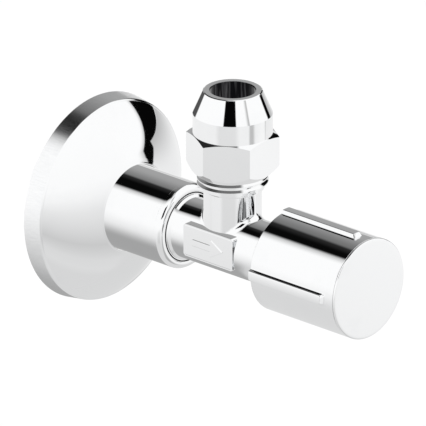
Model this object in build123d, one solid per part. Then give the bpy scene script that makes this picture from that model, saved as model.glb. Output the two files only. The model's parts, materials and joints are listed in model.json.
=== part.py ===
from build123d import *
import os

# Angle stop valve: G1/2 wall thread to a 10 mm outlet pipe.
# All lengths are millimetres. The valve axis is +X, out of the wall. The outlet axis is +Z.
# The origin is on the valve axis, at the back rim of the rosette, which is the wall plane.

# Standard threads and pipe
INLET_CREST_R = 20.955 / 2      # G1/2 major radius
INLET_ROOT_R = 18.631 / 2       # G1/2 minor radius
INLET_PITCH = 1.814
OUTLET_CREST_R = 16.662 / 2     # G3/8 major radius
OUTLET_ROOT_R = 14.950 / 2      # G3/8 minor radius
OUTLET_PITCH = 1.337
PIPE_SOCKET_R = 5.15            # takes the end of a 10 mm pipe
NUT_FLATS = 19.0                # spanner size of the compression nut
FIT = 0.05                      # radial gap between pieces that are pushed or screwed together

# Rosette
ROSETTE_RIM_R = 25.0
ROSETTE_CORNER_R = 24.4
ROSETTE_RIM_X = 4.7
ROSETTE_NOSE_X = 12.2
ROSETTE_NOSE_R = 11.4
ROSETTE_HOLE_R = 10.65
ROSETTE_WALL = 0.9
ROSETTE_BULGE_X = 0.75          # how far the dome stands out of a plain cone
ROSETTE_BULGE_R = 0.45
GRIP_RING_LENGTH = 2.2
GRIP_RING_TAPER = 0.9

# Inlet nipple, from the wall thread to its rounded front end
NIPPLE_BACK_X = -13.0
LAND_BACK_X = -3.2
LAND_FRONT_X = -0.6
SEAL_GROOVE_LENGTH = 1.5
SEAL_RING_LENGTH = 1.28
SEAL_RING_R = 10.1
SHANK_R = 10.3
SHANK_FRONT_X = 28.4
NIPPLE_FRONT_X = 29.5
NIPPLE_LIP_R = 8.6
NIPPLE_WATERWAY_R = 7.0
NIPPLE_SOCKET_X = 15.9
NIPPLE_SOCKET_R = 8.35

# Body
BODY_R = 7.35
BODY_SHOULDER_R = 7.95
BODY_SHOULDER_X = 30.0
BODY_SHOULDER_LENGTH = 0.4
BODY_FRONT_X = 60.4
SPIGOT_R = 8.3
SPIGOT_BACK_X = 16.0
BODY_SEAL_X = (24.0, 25.6)
BODY_SEAL_DEPTH = 1.15
INLET_BORE_R = 4.0
SEAT_X = 34.0
SEAT_LIP_R = 4.7
CHAMBER_R = 5.25
CHAMBER_X = 33.0
BONNET_X = 47.0
BONNET_R = 5.5
BONNET_SEAL_SECTION = 0.9
OUTLET_X = 43.1
NECK_R = 6.8
NECK_FILLET = 1.6
OUTLET_THREAD_Z = 14.0
OUTLET_TOP_Z = 27.2
OUTLET_BORE_R = 4.0
SOCKET_FLOOR_Z = 17.0
OLIVE_SEAT_DEPTH = 1.2
PAD_X = (34.7, 50.1)
PAD_Z = (-3.3, 4.7)
PAD_Y = -7.75
PAD_CORNER = 0.5
ARROW_RAISE = 0.35
ARROW_MARGIN = 3.0
ARROW_SHAFT_LENGTH = 5.6
ARROW_SHAFT_HALF = 0.7
ARROW_HEAD_HALF = 2.1

# Compression nut and olive
NUT_BOTTOM_Z = 17.6
NUT_TURN = 33.5                 # degrees from +X to one of the nut's corners
HEX_TOP_Z = 27.6
NUT_COLLAR_R = 9.32
CONE_Z = 32.4
NUT_TOP_Z = 38.0
NUT_TOP_R = 6.8
NUT_BORE_R = 5.25
NUT_THREAD_R = OUTLET_CREST_R + 0.12
NUT_THREAD_END_Z = OUTLET_TOP_Z + 1.6
NUT_CONE_END_Z = NUT_THREAD_END_Z + 1.9
OLIVE_R = 6.1
OLIVE_BORE_R = 5.12
OLIVE_Z = (OUTLET_TOP_Z - 0.7, OUTLET_TOP_Z + 2.6)

# Bonnet
BONNET_BORE_R = 4.15
BONNET_SHOULDER_X = 62.9
BONNET_FLANGE_X = 63.4
BONNET_NECK_X = 68.5
BONNET_NECK_R = 5.4
BONNET_FLATS = 13.0
KEY_SLOT_X = (53.9, 61.2)
KEY_SLOT_DEPTH = 0.65
KEY_SLOT_WIDTH = 2.2
THRUST_WASHER_LENGTH = 0.6

# Spindle, which turns in place
SPINDLE_R = 3.0
SPINDLE_BACK_X = 49.0
SPINDLE_END_X = 77.6
SPINDLE_THREAD_R = 2.2
SPINDLE_COLLAR_R = 3.85
SPINDLE_COLLAR_X = (61.2, 62.2)
SPINDLE_SEALS_X = (63.6, 65.9)
SPINDLE_SEAL_LENGTH = 1.3
SPINDLE_SEAL_DEPTH = 0.9
SPINDLE_CLIP_X = (68.6, 69.3)
SPINDLE_CLIP_DEPTH = 0.5
SHAFT_BORE_R = SPINDLE_R + 0.04
SPLINE_X = 69.8
SPLINE_TEETH = 16
SCREW_HOLE_R = 1.65
SCREW_HOLE_X = 70.5

# Piston, which slides on the spindle's left-hand thread
PISTON_HEAD_R = 4.9
PISTON_HEAD_X = (34.6, 38.6)
PISTON_STEM_R = 4.1
PISTON_REAR_X = 55.6
PISTON_KEY_RAISE = 0.55
PISTON_KEY_WIDTH = 2.0
PISTON_KEY_LENGTH = 1.4
PISTON_THREAD_X = 43.0
PISTON_SEAL_X = (47.3, 48.6)
PISTON_SEAL_DEPTH = 1.05
WASHER_CUP_R = 4.65
WASHER_CUP_X = 36.2
WASHER_SCREW_R = 1.2
WASHER_SCREW_X = (33.0, 40.6)
WASHER_SCREW_HOLE_X = 41.0
WASHER_SCREW_HEAD_R = 2.6

# Handle
HANDLE_BACK_X = 59.5
HANDLE_SEAM_X = 85.05
HANDLE_FRONT_X = 85.6
HANDLE_R = 12.1
HANDLE_INNER_R = 10.8
HANDLE_BACK_CHAMFER = 0.35
CAP_BACK_X = 82.7
RIB_COUNT = 4
RIB_WIDTH = 2.9
RIB_RAISE = 0.95
RIB_ROOT = 0.6                  # how deep a rib is rooted in the handle's wall
RIB_FRONT_X = 82.4
RIB_EDGE = 0.45
INSERT_X = (64.5, 81.8)
INSERT_HOLLOW_R = 9.2
INSERT_HOLLOW_X = 69.7
INSERT_STOP_X = 77.9
INSERT_SCREW_R = 2.1
INSERT_RECESS_X = 79.4
INSERT_RECESS_R = 5.0
HANDLE_SCREW_R = 1.6
HANDLE_SCREW_X = (71.0, 82.2)
HANDLE_SCREW_HEAD_X = 80.02
HANDLE_SCREW_HEAD_R = 3.5
SCREW_WASHER_X = (79.42, 80.0)
SCREW_WASHER_R = 4.2


def turned_x(*points):
    """Solid of revolution about the valve axis, from (x, radius) points."""
    outline = Polyline(*[(x, 0, r) for x, r in points], close=True)
    return revolve(make_face(outline), axis=Axis.X)


def turned_z(*points):
    """Solid of revolution about the outlet axis, from (radius, z) points."""
    outline = Polyline(*[(r, 0, z) for r, z in points], close=True)
    return Pos(OUTLET_X, 0, 0) * revolve(make_face(outline), axis=Axis.Z)


def rod_x(radius, x0, x1):
    return turned_x((x0, 0), (x1, 0), (x1, radius), (x0, radius))


def ring_x(inner, outer, x0, x1):
    return turned_x((x0, inner), (x1, inner), (x1, outer), (x0, outer))


def rod_z(radius, z0, z1):
    return turned_z((0, z0), (radius, z0), (radius, z1), (0, z1))


def o_ring(inner, outer, x0):
    """Rubber ring of round section whose back is at x0."""
    section = (outer - inner) / 2
    centre = Plane((x0 + section, 0, 0), z_dir=(1, 0, 0))
    return centre * Torus(inner + section, section)


def thread_ridge(root, crest, pitch, length):
    """Helical ridge of a right-hand thread about +Z, from z = 0 to length."""
    base_half = pitch * 0.40
    crest_half = pitch * 0.10
    sunk = -0.15
    path = Helix(pitch=pitch, height=length, radius=root)
    section_plane = Plane(origin=path @ 0, x_dir=(1, 0, 0), z_dir=path % 0)
    section = section_plane * make_face(Polyline(
        (sunk, -base_half), (crest - root, -crest_half),
        (crest - root, crest_half), (sunk, base_half), close=True))
    return sweep(section, path=path, is_frenet=True)


def hex_prism_x(flats, x0, x1):
    profile = RegularPolygon(radius=flats / 2, side_count=6, major_radius=False)
    return Plane((x0, 0, 0), z_dir=(1, 0, 0)) * extrude(profile, amount=x1 - x0)


# ---------------------------------------------------------------- inlet and rosette
def make_inlet_nipple():
    outer = turned_x((NIPPLE_BACK_X, 0), (NIPPLE_BACK_X, INLET_ROOT_R),
                     (LAND_BACK_X, INLET_ROOT_R), (LAND_BACK_X, INLET_CREST_R),
                     (LAND_FRONT_X, INLET_CREST_R), (LAND_FRONT_X + 0.3, SHANK_R),
                     (SHANK_FRONT_X, SHANK_R), (SHANK_FRONT_X + 0.45, SHANK_R - 0.2),
                     (NIPPLE_FRONT_X - 0.3, NIPPLE_LIP_R + 0.75), (NIPPLE_FRONT_X, NIPPLE_LIP_R),
                     (NIPPLE_FRONT_X, 0))
    ridge_length = LAND_BACK_X - SEAL_GROOVE_LENGTH - NIPPLE_BACK_X - INLET_PITCH
    ridge = thread_ridge(INLET_ROOT_R, INLET_CREST_R, INLET_PITCH, ridge_length)
    ridge = Pos(NIPPLE_BACK_X + INLET_PITCH * 0.5, 0, 0) * Rot(0, 90, 0) * ridge
    waterway = rod_x(NIPPLE_WATERWAY_R, NIPPLE_BACK_X, NIPPLE_SOCKET_X)
    socket = rod_x(NIPPLE_SOCKET_R, NIPPLE_SOCKET_X, NIPPLE_FRONT_X)
    return outer + ridge - waterway - socket


def make_inlet_seal_ring():
    front = LAND_BACK_X - 0.02
    return ring_x(INLET_ROOT_R + 0.02, SEAL_RING_R, front - SEAL_RING_LENGTH, front)


def make_rosette():
    """Pressed shell: a shallow rim, then a gently domed cone to the hole."""
    wall = ROSETTE_WALL
    bulge_x = (ROSETTE_RIM_X + ROSETTE_NOSE_X) / 2 + ROSETTE_BULGE_X
    bulge_r = (ROSETTE_CORNER_R + ROSETTE_NOSE_R) / 2 + ROSETTE_BULGE_R
    rim = (0, 0, ROSETTE_RIM_R)
    corner_start = (ROSETTE_RIM_X - 0.4, 0, ROSETTE_CORNER_R + 0.05)
    corner_middle = (ROSETTE_RIM_X - 0.05, 0, ROSETTE_CORNER_R - 0.08)
    corner_end = (ROSETTE_RIM_X + 0.15, 0, ROSETTE_CORNER_R - 0.5)
    dome_end = (ROSETTE_NOSE_X - 0.35, 0, ROSETTE_NOSE_R + 0.35)
    nose = (ROSETTE_NOSE_X, 0, ROSETTE_NOSE_R - 0.3)
    lip = (ROSETTE_NOSE_X, 0, ROSETTE_HOLE_R)
    inner_lip = (ROSETTE_NOSE_X - wall, 0, ROSETTE_HOLE_R)
    inner_nose = (ROSETTE_NOSE_X - wall, 0, ROSETTE_NOSE_R - 0.3)
    inner_bulge = (bulge_x - wall * 0.85, 0, bulge_r - wall * 0.5)
    inner_corner = (ROSETTE_RIM_X - wall, 0, ROSETTE_CORNER_R - wall)
    inner_rim = (0, 0, ROSETTE_RIM_R - wall)
    section = [
        Line(rim, corner_start),
        ThreePointArc(corner_start, corner_middle, corner_end),
        ThreePointArc(corner_end, (bulge_x, 0, bulge_r), dome_end),
        Line(dome_end, nose),
        Line(nose, lip),
        Line(lip, inner_lip),
        Line(inner_lip, inner_nose),
        ThreePointArc(inner_nose, inner_bulge, inner_corner),
        Line(inner_corner, inner_rim),
        Line(inner_rim, rim),
    ]
    return revolve(make_face(section), axis=Axis.X)


def make_rosette_grip_ring():
    """Springy plastic ring inside the nose of the rosette, which holds it on the shank."""
    front = ROSETTE_NOSE_X - ROSETTE_WALL - 0.02
    back = front - GRIP_RING_LENGTH
    inner = SHANK_R + 0.04
    return turned_x((back, inner), (front, inner), (front, ROSETTE_NOSE_R - 0.35),
                    (front - GRIP_RING_TAPER, ROSETTE_NOSE_R + 0.2), (back, ROSETTE_NOSE_R + 0.2))


# ---------------------------------------------------------------- body
def make_outlet_neck():
    return rod_z(NECK_R, 0, OUTLET_THREAD_Z)


def make_outlet_core():
    """The threaded end of the neck at its root radius."""
    return turned_z((0, OUTLET_THREAD_Z - 0.5), (NECK_R, OUTLET_THREAD_Z - 0.5),
                    (OUTLET_ROOT_R, OUTLET_THREAD_Z), (OUTLET_ROOT_R, OUTLET_TOP_Z - 0.35),
                    (OUTLET_ROOT_R - 0.35, OUTLET_TOP_Z), (0, OUTLET_TOP_Z))


def make_outlet_thread():
    length = OUTLET_TOP_Z - OUTLET_THREAD_Z - OUTLET_PITCH - 0.4
    ridge = thread_ridge(OUTLET_ROOT_R, OUTLET_CREST_R, OUTLET_PITCH, length)
    return Pos(OUTLET_X, 0, OUTLET_THREAD_Z + OUTLET_PITCH * 0.5) * Rot(0, 0, 150) * ridge


def make_pad():
    """Raised flat on the side of the body."""
    centre = ((PAD_X[0] + PAD_X[1]) / 2, PAD_Y / 2, (PAD_Z[0] + PAD_Z[1]) / 2)
    block = Pos(*centre) * Box(PAD_X[1] - PAD_X[0], -PAD_Y, PAD_Z[1] - PAD_Z[0])
    return chamfer(block.edges().filter_by(Axis.Y), length=PAD_CORNER)


def make_flow_arrow():
    """Flow arrow in relief: it points along the valve, towards the outlet."""
    middle = (PAD_Z[0] + PAD_Z[1]) / 2
    tail = PAD_X[0] + ARROW_MARGIN
    head = tail + ARROW_SHAFT_LENGTH
    tip = PAD_X[1] - ARROW_MARGIN
    outline = Polyline(
        (tail, PAD_Y, middle - ARROW_SHAFT_HALF), (head, PAD_Y, middle - ARROW_SHAFT_HALF),
        (head, PAD_Y, middle - ARROW_HEAD_HALF), (tip, PAD_Y, middle),
        (head, PAD_Y, middle + ARROW_HEAD_HALF), (head, PAD_Y, middle + ARROW_SHAFT_HALF),
        (tail, PAD_Y, middle + ARROW_SHAFT_HALF), close=True)
    return extrude(make_face(outline), amount=ARROW_RAISE, dir=(0, -1, 0))


def make_spigot():
    """Back end of the body, which sits in the nipple's socket."""
    front = BODY_SHOULDER_X - 0.5
    spigot = turned_x((SPIGOT_BACK_X, 0), (SPIGOT_BACK_X, SPIGOT_R - 0.4), (SPIGOT_BACK_X + 0.4, SPIGOT_R),
                      (front, SPIGOT_R), (front, 0))
    return spigot - ring_x(SPIGOT_R - BODY_SEAL_DEPTH, SPIGOT_R + 1, *BODY_SEAL_X)


def make_valve_body():
    shoulder_end = BODY_SHOULDER_X - 0.5 + BODY_SHOULDER_LENGTH
    barrel = turned_x((BODY_SHOULDER_X - 0.5, 0), (BODY_SHOULDER_X - 0.5, BODY_SHOULDER_R),
                      (shoulder_end, BODY_SHOULDER_R), (shoulder_end + 0.4, BODY_R),
                      (BODY_FRONT_X - 0.3, BODY_R), (BODY_FRONT_X, BODY_R - 0.3), (BODY_FRONT_X, 0))
    shell = barrel + make_outlet_neck()
    saddle = [edge for edge in shell.edges()
              if edge.geom_type not in (GeomType.CIRCLE, GeomType.LINE) and edge.center().Z > 1]
    shell = fillet(saddle, radius=NECK_FILLET)
    solid = shell + make_outlet_core() + make_outlet_thread() + make_pad() + make_flow_arrow() + make_spigot()
    solid -= rod_x(INLET_BORE_R, NIPPLE_SOCKET_X, CHAMBER_X + 1)
    solid -= ring_x(SEAT_LIP_R, CHAMBER_R, CHAMBER_X, SEAT_X)
    solid -= rod_x(CHAMBER_R, SEAT_X, BONNET_X)
    solid -= rod_x(BONNET_R + FIT, BONNET_X, BODY_FRONT_X)
    solid -= rod_x(BONNET_R + BONNET_SEAL_SECTION, BODY_FRONT_X - BONNET_SEAL_SECTION, BODY_FRONT_X)
    solid -= rod_z(OUTLET_BORE_R, 0, SOCKET_FLOOR_Z)
    solid -= rod_z(PIPE_SOCKET_R, SOCKET_FLOOR_Z, OUTLET_TOP_Z)
    seat_z = OUTLET_TOP_Z - OLIVE_SEAT_DEPTH
    return solid - turned_z((0, seat_z), (PIPE_SOCKET_R, seat_z),
                            (PIPE_SOCKET_R + OLIVE_SEAT_DEPTH, OUTLET_TOP_Z), (0, OUTLET_TOP_Z))


def make_body_o_ring():
    return o_ring(SPIGOT_R - BODY_SEAL_DEPTH + 0.02, SPIGOT_R + 0.03, BODY_SEAL_X[0] + 0.1)


# ---------------------------------------------------------------- outlet fitting
def make_nut_hexagon():
    """Hexagon with its corners turned down at the top and the bottom."""
    hexagon = RegularPolygon(radius=NUT_FLATS / 2, side_count=6, major_radius=False)
    prism = Pos(OUTLET_X, 0, NUT_BOTTOM_Z) * extrude(hexagon, amount=HEX_TOP_Z - NUT_BOTTOM_Z)
    corner_r = NUT_FLATS / 3 ** 0.5
    top_drop = (corner_r - NUT_COLLAR_R) * 0.45
    bottom_r = OUTLET_CREST_R + 0.25
    bottom_rise = (corner_r - bottom_r) * 0.95
    return prism & turned_z((0, NUT_BOTTOM_Z), (bottom_r, NUT_BOTTOM_Z),
                            (corner_r, NUT_BOTTOM_Z + bottom_rise), (corner_r, HEX_TOP_Z - top_drop),
                            (NUT_COLLAR_R, HEX_TOP_Z), (0, HEX_TOP_Z))


def make_compression_nut():
    crown = turned_z((0, HEX_TOP_Z - 0.5), (NUT_COLLAR_R, HEX_TOP_Z - 0.5), (NUT_COLLAR_R, CONE_Z),
                     (NUT_TOP_R + 0.15, NUT_TOP_Z - 0.15), (NUT_TOP_R - 0.1, NUT_TOP_Z), (0, NUT_TOP_Z))
    bore = turned_z((0, NUT_BOTTOM_Z), (NUT_THREAD_R + 0.15, NUT_BOTTOM_Z),
                    (NUT_THREAD_R, NUT_BOTTOM_Z + 0.3), (NUT_THREAD_R, NUT_THREAD_END_Z),
                    (OLIVE_R + 0.5, NUT_THREAD_END_Z), (NUT_BORE_R, NUT_CONE_END_Z),
                    (NUT_BORE_R, NUT_TOP_Z - 0.2), (NUT_BORE_R + 0.2, NUT_TOP_Z), (0, NUT_TOP_Z))
    nut = make_nut_hexagon() + crown - bore
    return Pos(OUTLET_X, 0, 0) * Rot(0, 0, NUT_TURN) * Pos(-OUTLET_X, 0, 0) * nut


def make_compression_olive():
    low, high = OLIVE_Z
    return turned_z((OLIVE_BORE_R, low), (OLIVE_BORE_R + 0.35, low), (OLIVE_R, low + 1.15),
                    (OLIVE_R, high - 0.75), (OLIVE_BORE_R + 0.35, high), (OLIVE_BORE_R, high))


# ---------------------------------------------------------------- headwork
def make_bonnet():
    barrel = rod_x(BONNET_R, BONNET_X, BODY_FRONT_X)
    flange = hex_prism_x(BONNET_FLATS, BODY_FRONT_X, BONNET_FLANGE_X)
    neck = rod_x(BONNET_NECK_R, BONNET_FLANGE_X, BONNET_NECK_X)
    slot_length = KEY_SLOT_X[1] - KEY_SLOT_X[0]
    key_slots = Pos(sum(KEY_SLOT_X) / 2, 0, 0) * Box(
        slot_length, 2 * (BONNET_BORE_R + KEY_SLOT_DEPTH), KEY_SLOT_WIDTH)
    solid = barrel + flange + neck
    solid -= rod_x(BONNET_BORE_R, BONNET_X, BONNET_SHOULDER_X)
    solid -= rod_x(SHAFT_BORE_R, BONNET_SHOULDER_X, BONNET_NECK_X)
    return solid - key_slots


def make_bonnet_seal_ring():
    return ring_x(BONNET_R + 0.03, BONNET_R + BONNET_SEAL_SECTION - 0.03,
                  BODY_FRONT_X - BONNET_SEAL_SECTION + 0.03, BODY_FRONT_X - 0.03)


def make_thrust_washer():
    front = BONNET_SHOULDER_X - 0.05
    return ring_x(SPINDLE_R + 0.15, BONNET_BORE_R - 0.08, front - THRUST_WASHER_LENGTH, front)


def make_spindle():
    """Non-rising spindle: left-hand thread, collar, two seal grooves, clip groove and splines."""
    solid = rod_x(SPINDLE_THREAD_R, SPINDLE_BACK_X, SPINDLE_COLLAR_X[0])
    solid += rod_x(SPINDLE_COLLAR_R, *SPINDLE_COLLAR_X)
    solid += turned_x((SPINDLE_COLLAR_X[1], 0), (SPINDLE_COLLAR_X[1], SPINDLE_R),
                      (SPINDLE_END_X - 0.3, SPINDLE_R), (SPINDLE_END_X, SPINDLE_R - 0.3), (SPINDLE_END_X, 0))
    groove_r = SPINDLE_R - SPINDLE_SEAL_DEPTH
    for groove_x in SPINDLE_SEALS_X:
        solid -= ring_x(groove_r, SPINDLE_R + 1, groove_x, groove_x + SPINDLE_SEAL_LENGTH)
    solid -= ring_x(SPINDLE_R - SPINDLE_CLIP_DEPTH, SPINDLE_R + 1, *SPINDLE_CLIP_X)
    notch_length = SPINDLE_END_X - SPLINE_X + 0.2
    notch = Pos(SPLINE_X + notch_length / 2, 0, SPINDLE_R) * Box(notch_length, 0.5, 0.7)
    for tooth in range(SPLINE_TEETH):
        solid -= Rot(tooth * 360 / SPLINE_TEETH, 0, 0) * notch
    return solid - rod_x(SCREW_HOLE_R, SCREW_HOLE_X, SPINDLE_END_X)


def make_spindle_seal(index):
    return o_ring(SPINDLE_R - SPINDLE_SEAL_DEPTH + 0.02, SPINDLE_R + 0.02, SPINDLE_SEALS_X[index] + 0.2)


def make_spindle_clip():
    """Open snap ring in the spindle, just outside the bonnet."""
    x0, x1 = SPINDLE_CLIP_X[0] + 0.05, SPINDLE_CLIP_X[1] - 0.05
    ring = ring_x(SPINDLE_R - SPINDLE_CLIP_DEPTH + 0.03, SPINDLE_R + 1.5, x0, x1)
    gap = Pos((x0 + x1) / 2, 0, -SPINDLE_R - 0.5) * Box(2, 3.4, 3.4)
    return ring - gap


def make_valve_piston():
    solid = rod_x(PISTON_HEAD_R, *PISTON_HEAD_X) + rod_x(PISTON_STEM_R, PISTON_HEAD_X[1], PISTON_REAR_X)
    keys = Pos(PISTON_REAR_X - PISTON_KEY_LENGTH / 2, 0, 0) * Box(
        PISTON_KEY_LENGTH, 2 * (BONNET_BORE_R + PISTON_KEY_RAISE), PISTON_KEY_WIDTH)
    solid += keys
    solid -= rod_x(WASHER_CUP_R, PISTON_HEAD_X[0], WASHER_CUP_X)
    solid -= rod_x(WASHER_SCREW_R + FIT, WASHER_CUP_X, WASHER_SCREW_HOLE_X)
    solid -= rod_x(SPINDLE_THREAD_R + 0.06, PISTON_THREAD_X, PISTON_REAR_X)
    return solid - ring_x(PISTON_STEM_R - PISTON_SEAL_DEPTH, PISTON_STEM_R + 1, *PISTON_SEAL_X)


def make_piston_o_ring():
    return o_ring(PISTON_STEM_R - PISTON_SEAL_DEPTH + 0.02, PISTON_STEM_R + 0.03, PISTON_SEAL_X[0] + 0.1)


def make_seat_washer():
    return ring_x(WASHER_SCREW_R + 0.15, WASHER_CUP_R - FIT, SEAT_X + 0.03, WASHER_CUP_X - FIT)


def make_washer_screw():
    """Its slotted head stays inside the seat bore when the valve is shut."""
    head_x, end_x = WASHER_SCREW_X
    solid = turned_x((head_x, 0), (head_x, WASHER_SCREW_HEAD_R - 0.3), (SEAT_X, WASHER_SCREW_HEAD_R),
                     (SEAT_X, WASHER_SCREW_R), (end_x, WASHER_SCREW_R), (end_x, 0))
    return solid - Pos(head_x + 0.2, 0, 0) * Box(0.9, 6, 0.6)


# ---------------------------------------------------------------- handle
def make_handle_rib():
    """One raised rib on the top of the handle, with a round nose at the front."""
    end_r = RIB_WIDTH / 2
    length = RIB_FRONT_X - HANDLE_BACK_X - end_r
    root = HANDLE_R - RIB_ROOT
    height = RIB_RAISE + RIB_ROOT
    straight = Pos(HANDLE_BACK_X + length / 2, 0, root + height / 2) * Box(length, RIB_WIDTH, height)
    nose = Cylinder(end_r, height, align=(Align.CENTER, Align.CENTER, Align.MIN))
    rib = straight + Pos(RIB_FRONT_X - end_r, 0, root) * nose
    return fillet(rib.faces().sort_by(Axis.Z)[-1].edges(), radius=RIB_EDGE)


def make_handle_shell():
    shell = ring_x(HANDLE_INNER_R, HANDLE_R, HANDLE_BACK_X, HANDLE_SEAM_X)
    outside = shell.edges().filter_by(GeomType.CIRCLE).filter_by(lambda e: abs(e.radius - HANDLE_R) < 1e-6)
    shell = chamfer(outside.sort_by(Axis.X)[0], length=HANDLE_BACK_CHAMFER)
    rib = make_handle_rib()
    for number in range(RIB_COUNT):
        shell += Rot(number * 360 / RIB_COUNT, 0, 0) * rib
    return shell


def make_handle_insert():
    """Plastic hub between the spindle's splines and the handle shell."""
    solid = rod_x(HANDLE_INNER_R - FIT, *INSERT_X)
    solid -= rod_x(INSERT_HOLLOW_R, INSERT_X[0], INSERT_HOLLOW_X)
    solid -= rod_x(SPINDLE_R + 0.06, INSERT_HOLLOW_X, INSERT_STOP_X)
    solid -= rod_x(INSERT_SCREW_R, INSERT_STOP_X, INSERT_RECESS_X)
    return solid - rod_x(INSERT_RECESS_R, INSERT_RECESS_X, INSERT_X[1])


def make_screw_washer():
    return ring_x(INSERT_SCREW_R + FIT, SCREW_WASHER_R, *SCREW_WASHER_X)


def make_handle_screw():
    back, front = HANDLE_SCREW_X
    solid = turned_x((back, 0), (back, HANDLE_SCREW_R), (HANDLE_SCREW_HEAD_X, HANDLE_SCREW_R),
                     (HANDLE_SCREW_HEAD_X, HANDLE_SCREW_HEAD_R), (front - 0.5, HANDLE_SCREW_HEAD_R - 0.3),
                     (front, HANDLE_SCREW_HEAD_R - 1.1), (front, 0))
    cross = Pos(front - 0.4, 0, 0) * (Box(1.2, 3.4, 0.8) + Box(1.2, 0.8, 3.4))
    return solid - cross


def make_handle_cap():
    """Polished end disc, pressed into the front of the handle shell."""
    plug_r = HANDLE_INNER_R - FIT
    seam = HANDLE_SEAM_X + 0.02
    return turned_x((CAP_BACK_X, 0), (CAP_BACK_X, plug_r), (seam, plug_r),
                    (seam, HANDLE_R - 0.1), (seam + 0.1, HANDLE_R),
                    (HANDLE_FRONT_X - 0.15, HANDLE_R), (HANDLE_FRONT_X, HANDLE_R - 0.15),
                    (HANDLE_FRONT_X, 0))


NODES = {
    "inlet_nipple": make_inlet_nipple,
    "inlet_seal_ring": make_inlet_seal_ring,
    "rosette": make_rosette,
    "rosette_grip_ring": make_rosette_grip_ring,
    "valve_body": make_valve_body,
    "body_o_ring": make_body_o_ring,
    "compression_nut": make_compression_nut,
    "compression_olive": make_compression_olive,
    "bonnet": make_bonnet,
    "bonnet_seal_ring": make_bonnet_seal_ring,
    "thrust_washer": make_thrust_washer,
    "spindle": make_spindle,
    "spindle_o_ring_inner": lambda: make_spindle_seal(0),
    "spindle_o_ring_outer": lambda: make_spindle_seal(1),
    "spindle_clip": make_spindle_clip,
    "valve_piston": make_valve_piston,
    "piston_o_ring": make_piston_o_ring,
    "seat_washer": make_seat_washer,
    "washer_screw": make_washer_screw,
    "handle_shell": make_handle_shell,
    "handle_insert": make_handle_insert,
    "screw_washer": make_screw_washer,
    "handle_screw": make_handle_screw,
    "handle_cap": make_handle_cap,
}

os.makedirs("parts", exist_ok=True)
for node, make in NODES.items():
    part = make()
    part.label = node
    export_step(part, f"parts/{node}.step")
    print(node, round(part.volume, 2), "mm3")
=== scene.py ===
import json
import math

import bmesh
import bpy
from bpy.props import FloatProperty, FloatVectorProperty, IntProperty, PointerProperty
from mathutils import Matrix, Vector


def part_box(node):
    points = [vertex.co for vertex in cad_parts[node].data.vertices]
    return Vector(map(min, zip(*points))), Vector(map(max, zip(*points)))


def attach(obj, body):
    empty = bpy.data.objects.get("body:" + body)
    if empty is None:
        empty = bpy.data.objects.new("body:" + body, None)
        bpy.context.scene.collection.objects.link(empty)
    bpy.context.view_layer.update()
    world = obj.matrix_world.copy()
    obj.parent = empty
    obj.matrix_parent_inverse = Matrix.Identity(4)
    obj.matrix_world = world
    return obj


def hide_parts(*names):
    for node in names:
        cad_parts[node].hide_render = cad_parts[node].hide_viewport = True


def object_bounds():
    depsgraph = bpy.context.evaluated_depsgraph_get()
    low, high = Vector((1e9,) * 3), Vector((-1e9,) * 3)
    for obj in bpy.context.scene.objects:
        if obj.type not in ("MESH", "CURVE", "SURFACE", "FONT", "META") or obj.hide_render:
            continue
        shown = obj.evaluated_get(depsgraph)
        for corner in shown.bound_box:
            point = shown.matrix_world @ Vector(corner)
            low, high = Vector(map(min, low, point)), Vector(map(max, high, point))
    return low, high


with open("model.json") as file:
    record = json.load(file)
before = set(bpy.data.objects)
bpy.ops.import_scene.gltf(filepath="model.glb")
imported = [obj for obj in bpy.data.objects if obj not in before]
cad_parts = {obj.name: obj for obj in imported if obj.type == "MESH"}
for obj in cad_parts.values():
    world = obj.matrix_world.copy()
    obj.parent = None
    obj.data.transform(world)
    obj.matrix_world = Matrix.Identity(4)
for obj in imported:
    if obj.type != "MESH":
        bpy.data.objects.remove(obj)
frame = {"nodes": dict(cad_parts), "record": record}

bl_info = {
    "name": "Angle stop valve",
    "version": (1, 0, 0),
    "blender": (4, 5, 0),
    "location": "3D View > Sidebar > Valve",
    "description": "Builds the finished look of a chrome angle stop valve on its fixed frame",
    "category": "Object",
}

MM = 0.001
CAD_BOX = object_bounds()
FINISHES = {}            # filled by the finishes step, used by the pieces after it

MERGE_DISTANCE = 0.0005 * MM
SHORTEST_EDGE = 0.0002 * MM

WORLD_WHITE = 1.06
FLOOR_HALF_WIDTH = 6.0
BORE_SHADE_EDGE = (5.55 * MM, 5.35 * MM)       # distance from the nut's axis where the painted shade in the bore begins

# Light levels of the tent, where 1 is plain white.
FLAG_BLACK = 0.002
CORE_BLACK = 0.003
CORE_LIFT = 0.020
WALL_FLAG_GREY = 0.09
BEHIND_GREY, BEHIND_LIFT = 0.17, 0.22
BESIDE_GREY, BESIDE_FALL = 0.92, 0.47

FAR_SIDE_SPARED = 0.5        # share of the floor's shade that the far side is spared

# Share of the light that each shaded part of the tent takes away.
UNDER_BACK_SHADE = 0.46
UNDER_FRONT_SHADE = 0.40
FRONT_LOW_SHADE = 0.15
CORE_SIDE_SHADE = 0.5
FLAG_SIDE_SHADE = 0.42


# ------------------------------------------------------------------ shader writing
class Sock:
    """A shader value that takes part in plain Python arithmetic."""

    def __init__(self, shader, socket):
        self.shader = shader
        self.socket = socket

    def _math(self, operation, left, right):
        return self.shader.node("ShaderNodeMath", {"operation": operation}, {0: left, 1: right})

    def __add__(self, other):
        return self._math("ADD", self, other)

    __radd__ = __add__

    def __sub__(self, other):
        return self._math("SUBTRACT", self, other)

    def __rsub__(self, other):
        return self._math("SUBTRACT", other, self)

    def __mul__(self, other):
        return self._math("MULTIPLY", self, other)

    __rmul__ = __mul__

    def __truediv__(self, other):
        return self._math("DIVIDE", self, other)

    def __rtruediv__(self, other):
        return self._math("DIVIDE", other, self)

    def __pow__(self, other):
        return self._math("POWER", self, other)


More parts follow.
